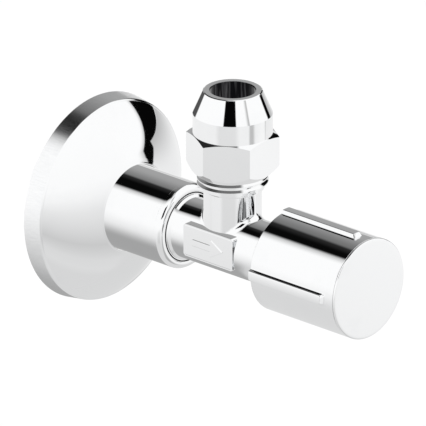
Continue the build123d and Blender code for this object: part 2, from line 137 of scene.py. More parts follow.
class Shader:
    """One material and the nodes that give it its finish."""

    def __init__(self, name):
        self.material = bpy.data.materials.new(name)
        self.material.use_nodes = True
        self.tree = self.material.node_tree
        self.surface = self.tree.nodes["Principled BSDF"]
        self.place = self.node("ShaderNodeTexCoord", output="Object")

    def node(self, kind, settings=None, inputs=None, output=0):
        made = self.tree.nodes.new(kind)
        for name, value in (settings or {}).items():
            if name == "stops":
                self._set_stops(made.color_ramp, value)
            else:
                setattr(made, name, value)
        for name, value in (inputs or {}).items():
            self.feed(made.inputs[name], value)
        return Sock(self, made.outputs[output])

    def _set_stops(self, ramp, stops):
        while len(ramp.elements) > 1:
            ramp.elements.remove(ramp.elements[-1])
        for index, (position, value) in enumerate(stops):
            element = ramp.elements[0] if index == 0 else ramp.elements.new(position)
            element.position = position
            element.color = (*value, 1.0) if isinstance(value, tuple) else (value, value, value, 1.0)

    def feed(self, socket, value):
        if isinstance(value, Sock):
            self.tree.links.new(value.socket, socket)
        elif isinstance(value, tuple) and len(value) == 3 and socket.type == "RGBA":
            socket.default_value = (*value, 1.0)
        else:
            socket.default_value = value

    def noise(self, size, detail=2.0, roughness=0.5, where=None):
        """Noise from 0 to 1 whose lumps are about size metres across."""
        return self.node("ShaderNodeTexNoise", {},
                         {"Vector": where or self.place, "Scale": 1.0 / size,
                          "Detail": detail, "Roughness": roughness}, output="Fac")

    def step(self, value, low, high):
        """Value stretched so that low gives 0 and high gives 1, with soft ends."""
        return self.node("ShaderNodeMapRange", {"interpolation_type": "SMOOTHSTEP"},
                         {"Value": value, "From Min": low, "From Max": high})

    def mix(self, amount, first, second):
        made = self.tree.nodes.new("ShaderNodeMix")
        made.data_type = "RGBA"
        self.feed(made.inputs["Factor"], amount)
        self.feed(made.inputs[6], first)
        self.feed(made.inputs[7], second)
        return Sock(self, made.outputs[2])

    def stretched(self, x, y, z):
        """Object coordinates stretched along each axis, for brushed and turned marks."""
        return self.node("ShaderNodeVectorMath", {"operation": "MULTIPLY"}, {0: self.place, 1: (x, y, z)})

    def axes(self):
        apart = self.node("ShaderNodeSeparateXYZ", {}, {"Vector": self.place})
        return [Sock(self, apart.socket.node.outputs[axis]) for axis in "XYZ"]

    def ramp(self, value, stops):
        return self.node("ShaderNodeValToRGB", {"stops": stops}, {"Fac": value})

    def bump(self, height, depth, strength=1.0, over=None):
        inputs = {"Height": height, "Distance": depth, "Strength": strength}
        if over is not None:
            inputs["Normal"] = over
        return self.node("ShaderNodeBump", {}, inputs)

    def between(self, value, low, high, soft):
        """1 between low and high, fading over soft on each side."""
        return self.step(value, low - soft, low + soft) * self.step(value, high + soft, high - soft)

    def above(self, value, floor):
        return self.node("ShaderNodeMath", {"operation": "MAXIMUM"}, {0: value - floor, 1: 0.0})

    def below(self, value, ceiling):
        return self.node("ShaderNodeMath", {"operation": "MAXIMUM"}, {0: ceiling - value, 1: 0.0})

    def angle(self, rise, run):
        return self.node("ShaderNodeMath", {"operation": "ARCTAN2"}, {0: rise, 1: run})

    def degrees(self, value):
        return self.node("ShaderNodeMath", {"operation": "DEGREES"}, {0: value})

    def direction(self):
        return self.node("ShaderNodeVectorMath", {"operation": "NORMALIZE"}, {0: self.place})

    def glowing(self, light):
        """Turn the material into a plain glow that is as bright as light says."""
        glow = self.node("ShaderNodeEmission", {}, {"Color": light, "Strength": 1.0}, output="Emission")
        self.tree.nodes.remove(self.surface)
        self.tree.links.new(glow.socket, self.tree.nodes["Material Output"].inputs["Surface"])
        return self.material

    def set(self, **inputs):
        for name, value in inputs.items():
            self.feed(self.surface.inputs[name.replace("_", " ")], value)


# ------------------------------------------------------------------ finishes
def polished(shader, finish):
    """Colour, roughness and ripple of hand-polished chrome plate, as shader values."""
    wipes = shader.step(shader.noise(9 * MM, detail=4.0), 0.52, 0.78)
    specks = shader.step(shader.noise(0.35 * MM, detail=1.0), 0.70, 0.80)
    tint = shader.mix(wipes * 0.35, tuple(finish.chrome_colour), tuple(finish.chrome_haze))
    roughness = wipes * 0.018 + specks * 0.03 + finish.chrome_roughness
    peel = shader.noise(1.6 * MM, detail=1.0)
    return tint, roughness, peel


def chrome_finish(name, finish):
    """Polished chrome plate: bright, faintly blue, with soft wipe marks and a trace of orange peel."""
    shader = Shader(name)
    tint, roughness, peel = polished(shader, finish)
    shader.set(Base_Color=tint, Metallic=1.0, Roughness=roughness,
               Normal=shader.bump(peel, finish.chrome_peel * MM, 0.35))
    return shader.material


def wall_plate_finish(name, finish):
    """Chrome with a polished dome and a satin rim that is brushed from back to front."""
    shader = Shader(name)
    tint, roughness, peel = polished(shader, finish)
    along = shader.axes()[0]
    satin = shader.step(along, finish.satin_edge, finish.satin_edge - 0.45 * MM)
    streaks = shader.noise(0.28 * MM, detail=2.0, roughness=0.6, where=shader.stretched(0.03, 1.0, 1.0))
    marks = shader.noise(1.6 * MM, detail=2.0, where=shader.stretched(0.05, 1.0, 1.0))
    satin_roughness = finish.satin_roughness + (streaks - 0.5) * 0.05 + (marks - 0.5) * 0.08
    tint = shader.mix(satin * shader.step(streaks, 0.35, 0.75) * 0.35, tint, tuple(finish.satin_shade))
    shader.set(Base_Color=tint, Metallic=1.0,
               Roughness=roughness * (1 - satin) + satin * satin_roughness,
               Normal=shader.bump(streaks * satin, finish.satin_depth * MM, 0.5,
                                  over=shader.bump(peel, finish.chrome_peel * MM, 0.25)))
    return shader.material


def nut_finish(name, finish, axis_x):
    """Chrome nut whose bore is rougher and painted nearly black, as painted shade inside the bore."""
    shader = Shader(name)
    tint, roughness, peel = polished(shader, finish)
    along, across = shader.axes()[:2]
    off_axis = ((along - axis_x) * (along - axis_x) + across * across) ** 0.5
    # painted shade: inside the bore the base colour goes nearly black, with faint drawn streaks
    bore = shader.step(off_axis, *BORE_SHADE_EDGE)
    drawn = shader.noise(0.5 * MM, detail=3.0, where=shader.stretched(1.0, 1.0, 0.05))
    painted_bore_shade = shader.mix(shader.step(drawn, 0.45, 0.8), (0.006, 0.006, 0.007), (0.10, 0.10, 0.105))
    shader.set(Base_Color=shader.mix(bore, tint, painted_bore_shade), Metallic=1.0,
               Roughness=roughness + bore * (0.20 + drawn * 0.15),
               Normal=shader.bump(peel, finish.chrome_peel * MM, 0.35))
    return shader.material


def brass_finish(name, finish):
    """Turned brass: fine lathe rings, a few darker blotches and bright crests."""
    shader = Shader(name)
    blotch = shader.noise(3 * MM, detail=3.0)
    rings = shader.noise(0.10 * MM, detail=2.0, where=shader.stretched(1.0, 0.03, 0.03))
    colour = shader.mix(shader.step(blotch, 0.35, 0.7),
                        tuple(finish.brass_colour), tuple(finish.brass_shade))
    colour = shader.mix(shader.step(rings, 0.45, 0.75) * 0.35, colour, (0.86, 0.70, 0.42))
    shader.set(Base_Color=colour, Metallic=1.0, Roughness=blotch * 0.12 + rings * 0.10 + 0.16,
               Normal=shader.bump(rings, 0.012 * MM, 0.6))
    return shader.material


def steel_finish(name):
    """Stainless steel with turning marks."""
    shader = Shader(name)
    blotch = shader.noise(2 * MM, detail=3.0)
    rings = shader.noise(0.08 * MM, detail=2.0, where=shader.stretched(1.0, 0.04, 0.04))
    shader.set(Base_Color=shader.mix(blotch, (0.50, 0.50, 0.51), (0.68, 0.68, 0.68)), Metallic=1.0,
               Roughness=blotch * 0.1 + rings * 0.1 + 0.18, Normal=shader.bump(rings, 0.01 * MM, 0.6))
    return shader.material


def rubber_finish(name):
    """Black sealing rubber: fine grain, paler where it has been pressed."""
    shader = Shader(name)
    grain = shader.noise(0.18 * MM, detail=3.0)
    pressed = shader.step(shader.noise(1.5 * MM, detail=2.0), 0.45, 0.75)
    shader.set(Base_Color=shader.mix(pressed, (0.010, 0.010, 0.011), (0.032, 0.032, 0.034)),
               Roughness=grain * 0.2 + 0.42 - pressed * 0.06, Normal=shader.bump(grain, 0.02 * MM, 0.6))
    return shader.material


def plastic_finish(name, colour, shade):
    """Moulded plastic: an even colour with slow shading and a fine eroded grain."""
    shader = Shader(name)
    grain = shader.noise(0.25 * MM, detail=2.0)
    flow = shader.noise(4 * MM, detail=3.0, where=shader.stretched(0.3, 1.0, 1.0))
    shader.set(Base_Color=shader.mix(flow, colour, shade),
               Roughness=grain * 0.15 + 0.34, Normal=shader.bump(grain, 0.02 * MM, 0.5))
    return shader.material


def make_finishes(finish):
    """All finishes, by the name of the material slot or of the piece that they are for."""
    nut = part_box("compression_nut")
    return {
        "chrome": chrome_finish("polished_chrome", finish),
        "wall_plate": wall_plate_finish("wall_plate_chrome", finish),
        "nut": nut_finish("nut_chrome_painted_bore_shade", finish, (nut[0][0] + nut[1][0]) / 2),
        "brass": brass_finish("machined_brass", finish),
        "steel": steel_finish("stainless_steel"),
        "rubber": rubber_finish("black_rubber"),
        "ptfe": plastic_finish("white_ptfe", (0.86, 0.86, 0.84), (0.78, 0.78, 0.76)),
        "white_plastic": plastic_finish("white_plastic", (0.80, 0.80, 0.77), (0.72, 0.72, 0.69)),
        "grey_plastic": plastic_finish("grey_plastic", (0.10, 0.105, 0.11), (0.07, 0.072, 0.076)),
    }


# ------------------------------------------------------------------ modelling helpers
def arc(centre_x, centre_r, radius, start, end, steps):
    """Profile points (x, r) on a circle; angles are in degrees from +X towards +r."""
    angles = [math.radians(start + (end - start) * step / steps) for step in range(steps + 1)]
    return [(centre_x + radius * math.cos(a), centre_r + radius * math.sin(a)) for a in angles]


def arc_through(first, middle, last, steps):
    """Profile points on the circle through three points."""
    (ax, ay), (bx, by), (cx, cy) = first, middle, last
    double = 2 * (ax * (by - cy) + bx * (cy - ay) + cx * (ay - by))
    a, b, c = ax * ax + ay * ay, bx * bx + by * by, cx * cx + cy * cy
    x = (a * (by - cy) + b * (cy - ay) + c * (ay - by)) / double
    y = (a * (cx - bx) + b * (ax - cx) + c * (bx - ax)) / double
    start = math.degrees(math.atan2(ay - y, ax - x))
    turn = math.degrees(math.atan2(cy - y, cx - x)) - start
    turn = (turn + 180.0) % 360.0 - 180.0
    return arc(x, y, math.hypot(ax - x, ay - y), start, start + turn, steps)


def turned(profile, steps, closed=True):
    """Mesh of a profile of (x, r) points in millimetres, turned about the valve axis."""
    bm = bmesh.new()
    verts = [bm.verts.new((x * MM, 0.0, r * MM)) for x, r in profile]
    edges = [bm.edges.new(pair) for pair in zip(verts, verts[1:])]
    if closed:
        edges.append(bm.edges.new((verts[-1], verts[0])))
    bmesh.ops.spin(bm, geom=verts + edges, cent=(0, 0, 0), axis=(1, 0, 0), dvec=(0, 0, 0),
                   angle=math.tau, steps=steps, use_merge=True, use_duplicate=False)
    return bm


def round_edges(bm, edges, radius, segments):
    """Bevel edges into a round of the given radius."""
    bmesh.ops.bevel(bm, geom=edges, offset=radius, offset_type="OFFSET", segments=segments, profile=0.5,
                    affect="EDGES", material=-1, clamp_overlap=True)


def long_edges(bm, along_y):
    """Edges that run front to back over more than a given length."""
    return [edge for edge in bm.edges if abs(edge.verts[0].co.y - edge.verts[1].co.y) > along_y]


def edges_in_front(bm, face_y):
    """Edges that lie in the foremost face, at face_y."""
    return [edge for edge in bm.edges if all(vert.co.y < face_y + 1e-6 for vert in edge.verts)]


def radial_part(place):
    """The part of a point's place that is square to the valve axis."""
    return Vector((0.0, place.y, place.z))


def edge_middle(edge):
    return (edge.verts[0].co + edge.verts[1].co) / 2


def finished(bm, name, body, material, replaced=(), sharp=32.0):
    """Close and smooth a mesh, and make it a piece that rides on a body.

    Only the pieces on the handle show in mirror rays. The rest would cover each other with reflections.
    """
    bmesh.ops.remove_doubles(bm, verts=bm.verts[:], dist=MERGE_DISTANCE)
    bmesh.ops.dissolve_degenerate(bm, edges=bm.edges[:], dist=SHORTEST_EDGE)
    bmesh.ops.recalc_face_normals(bm, faces=bm.faces[:])
    if any(not edge.is_manifold for edge in bm.edges):
        raise RuntimeError(name + " is not a closed shape")
    for face in bm.faces:
        face.smooth = True
    for edge in bm.edges:
        edge.smooth = edge.calc_face_angle(0.0) < math.radians(sharp)
    mesh = bpy.data.meshes.new(name)
    bm.to_mesh(mesh)
    bm.free()
    mesh.materials.append(material)
    piece = link(bpy.data.objects.new(name, mesh))
    piece.visible_glossy = body == "handle"
    flat = piece.modifiers.new("flat_faces_stay_flat", "WEIGHTED_NORMAL")
    flat.mode = "FACE_AREA"
    flat.weight = 100
    flat.keep_sharp = True
    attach(piece, body)
    if replaced:
        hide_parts(*replaced)
    return piece


# ------------------------------------------------------------------ studio
def direction(azimuth, elevation):
    """Unit vector; azimuth is in degrees from +X towards +Y, elevation in degrees above the floor."""
    a, e = math.radians(azimuth), math.radians(elevation)
    return Vector((math.cos(a) * math.cos(e), math.sin(a) * math.cos(e), math.sin(e)))


def link(obj):
    bpy.context.scene.collection.objects.link(obj)
    return obj


def stage_object(bm, name, material):
    """Object for the stage, which is not part of the valve."""
    mesh = bpy.data.meshes.new(name)
    bm.to_mesh(mesh)
    bm.free()
    mesh.materials.append(material)
    return link(bpy.data.objects.new(name, mesh))


def only_in_mirrors(obj):
    """Let an object show only where something reflects it."""
    obj.visible_camera = False
    obj.visible_diffuse = False
    obj.visible_shadow = False


def tent_paint(studio):
    """What the polished chrome sees: a white tent with black flags and grey cards, by direction.

    azimuth and elevation are in degrees as seen from the middle of the valve; roll is the angle about
    the valve axis, 0 at the front side, 90 overhead and -90 underneath; reach is along the valve axis,
    from -1 at the wall to 1 in front of the handle.
    """
    shader = Shader("tent_paint")
    apart = shader.node("ShaderNodeSeparateXYZ", {}, {"Vector": shader.direction()})
    reach, across, up = [Sock(shader, apart.socket.node.outputs[axis]) for axis in "XYZ"]
    azimuth = shader.degrees(shader.angle(across, reach))
    elevation = shader.degrees(shader.node("ShaderNodeMath", {"operation": "ARCSINE"}, {0: up}))
    roll = shader.degrees(shader.angle(up, across * -1))
    turned = shader.node("ShaderNodeMath", {"operation": "WRAP"}, {0: azimuth, 1: 360.0, 2: 0.0})

    def dim(light, amount, grey):
        """Light that gives way to a grey level by an amount from 0 to 1."""
        return light * (1 - amount) + amount * grey

    # the tent's floor, brighter on the far side
    low = shader.step(elevation, 4, -46)
    far_side = shader.step(azimuth, 15, 45) * shader.step(azimuth, 150, 110)
    low = low * (1 - FAR_SIDE_SPARED * far_side * shader.step(elevation, -38, -26))
    light = dim(studio.tent_white, low, studio.tent_floor)

    # shade underneath, towards the wall, in front, and low at the camera's side
    under = shader.step(reach, -0.552, -0.564) * shader.step(reach, -0.80, -0.70)
    under = under * shader.step(roll, -26, -66) * shader.step(roll, -170, -140)
    light = light * (1 - UNDER_BACK_SHADE * under)
    under_front = shader.step(reach, 0.45, 0.55)
    under_front = under_front * shader.step(roll, -80, -104) * shader.step(roll, -142, -122)
    light = light * (1 - UNDER_FRONT_SHADE * under_front)
    front_low = shader.between(azimuth, -90, -34, 9) * shader.between(elevation, -36, -8, 6)
    light = light * (1 - FRONT_LOW_SHADE * front_low)

    # grey card behind and above the valve, and a small one at the wall
    behind = shader.step(turned, 108, 117) * shader.step(turned, 196, 184) * shader.step(elevation, 4, 10)
    behind = behind * shader.step(roll, 91, 96)
    light = dim(light, behind, BEHIND_GREY + BEHIND_LIFT * shader.step(roll, 98, 150))
    wall_flag = shader.between(turned, 150, 185, 3) * shader.between(elevation, -10, 8, 2)
    light = dim(light, wall_flag, WALL_FLAG_GREY)

    # long black flag overhead, in two lengths, which draws the dark band along every round part
    spread = (reach + 0.5) * -1
    core = shader.step(roll - (73.5 - spread * 12), -5, 2)
    core = core * (1 - shader.step(roll - (101 + spread * 40), -3, 5))
    lengthwise = shader.between(reach, -0.93, 0.22, 0.03) + shader.between(reach, 0.48, 0.95, 0.03)
    lengthwise = lengthwise * shader.step(up, 0.0, 0.1)
    glow = shader.step(roll - (84 + spread * 40), 0, 16) * CORE_LIFT
    shade = shader.step(roll - (62 - spread * 12), -6, 12) * shader.step(roll, 98, 90)
    light = light * (1 - CORE_SIDE_SHADE * shade * lengthwise)
    light = dim(light, core * lengthwise, CORE_BLACK + glow)

    # upright black flag at the far side, with a grey card beside it
    low_edge = 57.3 + 1.14 * shader.above(elevation, 2)
    right_edge = 110 - 40 * shader.step(elevation, 5.5, 4.2) - 0.8 * shader.below(elevation, 0)
    beside = shader.step(azimuth - right_edge, -1, 1) * shader.step(azimuth, 150, 125)
    beside = beside * shader.step(elevation, 6, 4) * shader.step(elevation, -34, -18)
    light = dim(light, beside, BESIDE_GREY - BESIDE_FALL * shader.step(elevation, -16, 12))
    fade = shader.step(azimuth - low_edge, -9, 1) * shader.step(azimuth - low_edge, 3, 1)
    light = light * (1 - FLAG_SIDE_SHADE * fade * fade * shader.between(elevation, -16, 44, 3))
    side_flag = shader.step(azimuth - low_edge, -0.5, 1) * shader.step(azimuth - right_edge, 1, -0.5)
    side_flag = side_flag * shader.between(elevation, -17, 44, 1)
    light = dim(light, side_flag, FLAG_BLACK)

    # black flag beside the camera, for the stripe on the nut's cone
    camera_flag = shader.between(azimuth, -73, -37, 1.5) * shader.between(elevation, 20, 50, 1.5)
    light = dim(light, camera_flag, FLAG_BLACK)
    return shader.glowing(light)


def card_paint():
    """Soft white card between the wall plate and the valve, which shows only from the plate's side."""
    shader = Shader("card_paint")
    across, up = shader.axes()[1:]
    height = up / (50 * MM) + 0.5
    light = shader.ramp(height, ((0.0, 0.74), (0.12, 0.78), (0.22, 0.76), (0.34, 0.64), (0.44, 0.76),
                                 (0.54, 0.87), (0.62, 1.0), (0.70, 1.06), (1.0, 1.08)))
    cover = shader.step(across, 1.5 * MM, -3.5 * MM)
    shader.glowing(light)
    glow = shader.tree.nodes["Material Output"].inputs["Surface"].links[0].from_node
    clear = shader.node("ShaderNodeBsdfTransparent", output="BSDF")
    back = shader.node("ShaderNodeNewGeometry", output="Backfacing")
    mixed = shader.node("ShaderNodeMixShader", {}, {0: cover * (1 - back), 1: clear})
    shader.tree.links.new(glow.outputs["Emission"], mixed.socket.node.inputs[2])
    shader.tree.links.new(mixed.socket, shader.tree.nodes["Material Output"].inputs["Surface"])
    return shader.material


class StudioSettings(bpy.types.PropertyGroup):
    """Camera, light and floor."""

    camera_azimuth: FloatProperty(name="Camera azimuth",
                                  description="Turn of the camera from the valve's side",
                                  default=math.radians(42.4), subtype="ANGLE")
    camera_elevation: FloatProperty(name="Camera elevation", description="Height of the camera as an angle",
                                    default=math.radians(22.3), subtype="ANGLE")
    camera_distance: FloatProperty(name="Camera distance", description="Distance from the aim point",
                                   default=3.0, unit="LENGTH")
    view_width: FloatProperty(name="View width",
                              description="Width of what the camera sees at the aim point",
                              default=98.84 * MM, unit="LENGTH")
    aim: FloatVectorProperty(name="Aim", description="Point at the middle of the picture",
                             default=(40.34 * MM, -3.75 * MM, 7.55 * MM), subtype="XYZ_LENGTH")
    floor_drop: FloatProperty(name="Floor drop", description="Gap between the valve and the floor",
                              default=0.10, unit="LENGTH")
    tent_radius: FloatProperty(name="Tent radius",
                               description="Distance of the light tent around the valve",
                               default=0.25, unit="LENGTH")
    card_gap: FloatProperty(name="Card gap", description="Gap between the wall plate and the white card",
                            default=1.8 * MM, unit="LENGTH")
    card_radius: FloatProperty(name="Card radius", description="Radius of the white card",
                               default=70 * MM, unit="LENGTH")
    tent_white: FloatProperty(name="Tent white", description="Brightness of the tent",
                              default=1.08, min=0.0)
    tent_floor: FloatProperty(name="Tent floor", description="Brightness of the tent's floor",
                              default=0.74, min=0.0)


class SizeSettings(bpy.types.PropertyGroup):
    """Sizes of the visible chrome pieces; the frame gives the defaults where it can."""

    plate_radius: FloatProperty(name="Wall plate radius", description="Radius of the wall plate's rim",
                                default=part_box("rosette")[1][1], unit="LENGTH")
    plate_depth: FloatProperty(name="Wall plate depth", description="How far the wall plate stands out",
                               default=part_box("rosette")[1][0], unit="LENGTH")
    plate_rim: FloatProperty(name="Rim depth", description="Depth of the wall plate's rim",
                             default=4.7 * MM, unit="LENGTH")
    plate_hole: FloatProperty(name="Hole radius", description="Radius of the hole for the shank",
                              default=10.36 * MM, unit="LENGTH")
    plate_wall: FloatProperty(name="Plate thickness", description="Thickness of the pressed sheet",
                              default=0.9 * MM, unit="LENGTH")
    pad_skin: FloatProperty(name="Pad skin", description="How far the rounded pad covers the plain one",
                            default=0.03 * MM, unit="LENGTH")
    arrow_raise: FloatProperty(name="Arrow height", description="How far the flow arrow stands out",
                               default=0.38 * MM, unit="LENGTH")
    handle_radius: FloatProperty(name="Handle radius", description="Outside radius of the handle's barrel",
                                 default=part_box("handle_cap")[1][1], unit="LENGTH")
    rib_count: IntProperty(name="Ribs", description="Number of ribs on the handle", default=4, min=0)
    rib_taper: FloatProperty(name="Rib taper",
                             description="How much narrower a rib is at its top, as a share",
                             default=0.20, min=0.0, max=0.9)
    rib_raise: FloatProperty(name="Rib height", description="How far a rib stands out",
                             default=0.95 * MM, unit="LENGTH")


class FinishSettings(bpy.types.PropertyGroup):
    """Colours and polish."""

    chrome_colour: FloatVectorProperty(name="Chrome colour", description="Colour of clean chrome plate",
                                       default=(0.90, 0.905, 0.91), subtype="COLOR")
    chrome_haze: FloatVectorProperty(name="Chrome haze", description="Colour under wipe marks",
                                     default=(0.84, 0.85, 0.86), subtype="COLOR")
    chrome_roughness: FloatProperty(name="Chrome roughness", description="Roughness of clean chrome",
                                    default=0.035, min=0.0, max=1.0)
    chrome_peel: FloatProperty(name="Orange peel",
                               description="Height of the plate's ripple in millimetres",
                               default=0.004, min=0.0)
    satin_roughness: FloatProperty(name="Satin roughness", description="Roughness of the brushed rim",
                                   default=0.21, min=0.0, max=1.0)
    satin_shade: FloatVectorProperty(name="Satin shade", description="Colour in the brushed rim's grooves",
                                     default=(0.80, 0.81, 0.82), subtype="COLOR")
    satin_depth: FloatProperty(name="Satin depth", description="Depth of the brushed marks in millimetres",
                               default=0.002, min=0.0)
    satin_edge: FloatProperty(name="Satin edge", description="Where the brushed rim ends, from the wall",
                              default=4.75 * MM, unit="LENGTH")
    brass_shade: FloatVectorProperty(name="Brass shade",
                                     description="Colour of brass in its darker blotches",
                                     default=(0.58, 0.40, 0.17), subtype="COLOR")
    brass_colour: FloatVectorProperty(name="Brass colour", description="Colour of fresh machined brass",
                                      default=(0.74, 0.55, 0.26), subtype="COLOR")


class VALVE_OT_stage(bpy.types.Operator):
    """Set up the camera, the floor, the light and the cards that show in the chrome"""

    bl_idname = "valve.stage"
    bl_label = "Studio"

    def execute(self, context):
        studio = context.scene.valve_studio
        self.make_camera(context, studio)
        self.make_world(context)
        self.make_floor(studio)
        self.make_tent(studio)
        self.make_card(studio)
        context.scene.view_settings.view_transform = "Standard"
        return {"FINISHED"}

    def make_camera(self, context, studio):
        data = bpy.data.cameras.new("camera")
        data.lens = data.sensor_width * studio.camera_distance / studio.view_width
        data.clip_end = 20.0
        camera = link(bpy.data.objects.new("camera", data))
        toward = direction(math.degrees(studio.camera_azimuth) - 90.0,
                           math.degrees(studio.camera_elevation))
        camera.location = Vector(studio.aim) + toward * studio.camera_distance
        camera.rotation_euler = toward.to_track_quat("Z", "Y").to_euler()
        context.scene.camera = camera

    def make_world(self, context):
        world = bpy.data.worlds.new("white_tent")
        world.use_nodes = True
        sky = world.node_tree.nodes["Background"]
        sky.inputs["Color"].default_value = (1.0, 1.0, 1.0, 1.0)
        sky.inputs["Strength"].default_value = WORLD_WHITE
        context.scene.world = world

    def make_floor(self, studio):
        low = Vector(CAD_BOX[0])
        bm = bmesh.new()
        bmesh.ops.create_grid(bm, x_segments=8, y_segments=8, size=FLOOR_HALF_WIDTH)
        bmesh.ops.translate(bm, verts=bm.verts[:], vec=(0, 0, low.z - studio.floor_drop))
        shader = Shader("pale_floor")
        cloud = shader.noise(0.4, detail=3.0)
        shader.set(Base_Color=shader.mix(cloud, (0.94, 0.94, 0.94), (0.97, 0.97, 0.97)), Roughness=0.9)
        floor = stage_object(bm, "floor", shader.material)
        floor.visible_glossy = False

    def make_tent(self, studio):
        bm = bmesh.new()
        bmesh.ops.create_icosphere(bm, subdivisions=6, radius=studio.tent_radius)
        bmesh.ops.reverse_faces(bm, faces=bm.faces[:])
        tent = stage_object(bm, "tent", tent_paint(studio))
        tent.location = (Vector(CAD_BOX[0]) + Vector(CAD_BOX[1])) / 2
        only_in_mirrors(tent)

    def make_card(self, studio):
        bm = bmesh.new()
        bmesh.ops.create_circle(bm, cap_ends=True, segments=48, radius=studio.card_radius)
        bmesh.ops.rotate(bm, verts=bm.verts[:], cent=(0, 0, 0),
                         matrix=Matrix.Rotation(-math.pi / 2, 3, "Y"))
        card = stage_object(bm, "card", card_paint())
        card.location.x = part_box("rosette")[1][0] + studio.card_gap
        only_in_mirrors(card)


class VALVE_OT_wall_plate(bpy.types.Operator):
    """Model the pressed wall plate with its satin rim"""

    bl_idname = "valve.wall_plate"
    bl_label = "Wall plate"

    def execute(self, context):
        size = context.scene.valve_sizes
        rim_r, rim_x = size.plate_radius / MM, size.plate_rim / MM
        corner_r = rim_r - 0.6
        nose_x, nose_r, hole_r = size.plate_depth / MM, 11.4, size.plate_hole / MM
        wall = size.plate_wall / MM
        middle_x, middle_r = (rim_x + nose_x) / 2, (corner_r + nose_r) / 2
        outside = [(0.0, rim_r - 0.12), (0.12, rim_r)]
        outside += arc_through((rim_x - 0.45, corner_r + 0.05), (rim_x - 0.06, corner_r - 0.10),
                               (rim_x + 0.12, corner_r - 0.50), 8)
        outside += arc_through((rim_x + 0.12, corner_r - 0.50), (middle_x + 0.75, middle_r + 0.45),
                               (nose_x - 0.32, nose_r + 0.30), 40)[1:]
        outside += arc(nose_x - 0.35, hole_r + 0.32, 0.33, 60, -20, 6)
        inside = [(nose_x - wall, hole_r + 0.05), (nose_x - wall, nose_r - 0.3)]
        inside += arc_through((nose_x - wall - 0.1, nose_r), (middle_x - 0.02, middle_r),
                              (rim_x - wall, corner_r - wall), 20)
        inside += [(0.1, rim_r - wall), (0.0, rim_r - wall + 0.1)]
        bm = turned(outside + inside, 176)
        finished(bm, "wall_plate", "rosette", FINISHES["wall_plate"], ("rosette",))
        return {"FINISHED"}


class VALVE_OT_shoulder(bpy.types.Operator):
    """Model the rounded shoulder of the shank and a black ring of painted shadow in the joint behind it"""

    bl_idname = "valve.shoulder"
    bl_label = "Shoulder"

    def execute(self, context):
        shank_r = 10.3
        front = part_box("inlet_nipple")[1][0] / MM
        round_r = 1.25
        skin = 0.015
        profile = [(front - 2.0, shank_r - 0.05), (front - 1.9, shank_r + skin)]
        profile += arc(front - round_r + 0.05, shank_r + skin - round_r, round_r, 90, 0, 12)
        profile += arc(front - 0.25, 8.72, 0.3, 0, -70, 4)
        profile += [(front - 0.6, 8.6), (front - 1.2, 9.4)]
        finished(turned(profile, 144), "shank_shoulder", "valve", FINISHES["chrome"])
        # painted shadow: a black ring in the rubber finish sits in the gap behind the shoulder, where there
        # is only shade
        ring = arc(front + 0.02, 8.30, 0.17, 0, 315, 14)
        finished(turned(ring, 120), "joint_painted_shadow_ring", "valve", FINISHES["rubber"])
        return {"FINISHED"}


class VALVE_OT_flow_pad(bpy.types.Operator):
    """Model the raised pad with rounded edges and the flow arrow in relief"""

    bl_idname = "valve.flow_pad"
    bl_label = "Flow pad"

    def execute(self, context):
        size = context.scene.valve_sizes
        low, high = Vector((34.7, -7.75, -3.3)), Vector((50.1, -6.2, 4.7))
        grow = size.pad_skin / MM
        low -= Vector((grow, grow, grow))
        high += Vector((grow, 0.0, grow))
        bm = bmesh.new()
        bmesh.ops.create_cube(bm, size=1.0)
        bmesh.ops.scale(bm, verts=bm.verts[:], vec=(high - low) * MM)
        bmesh.ops.translate(bm, verts=bm.verts[:], vec=(low + high) / 2 * MM)
        round_edges(bm, long_edges(bm, 0.5 * MM), 0.85 * MM, 6)
        round_edges(bm, edges_in_front(bm, low.y * MM), 0.50 * MM, 6)
        finished(bm, "flow_pad", "valve", FINISHES["chrome"])
        self.make_arrow(size, (low.z + high.z) / 2, low.y)
        return {"FINISHED"}

    def make_arrow(self, size, middle, face_y):
        """Raise the arrow from the pad's face; its root is sunk so that it leaves no gap."""
        tail, head, tip = 37.6, 43.3, 47.2
        half, wide, root = 0.78, 2.2, 0.2 * MM
        outline = [(tail, -half), (head, -half), (head, -wide), (tip, 0.0), (head, wide), (head, half),
                   (tail, half)]
        bm = bmesh.new()
        verts = [bm.verts.new((x * MM, face_y * MM + root, (middle + z) * MM)) for x, z in outline]
        face = bm.faces.new(verts)
        raised = bmesh.ops.extrude_face_region(bm, geom=[face])["geom"]
        top = [item for item in raised if isinstance(item, bmesh.types.BMVert)]
        bmesh.ops.translate(bm, verts=top, vec=(0, -(size.arrow_raise + root), 0))
        round_edges(bm, long_edges(bm, 0.1 * MM), 0.22 * MM, 4)
        foremost = min(vert.co.y for vert in bm.verts)
        round_edges(bm, edges_in_front(bm, foremost), 0.20 * MM, 5)
        finished(bm, "flow_arrow", "valve", FINISHES["chrome"])


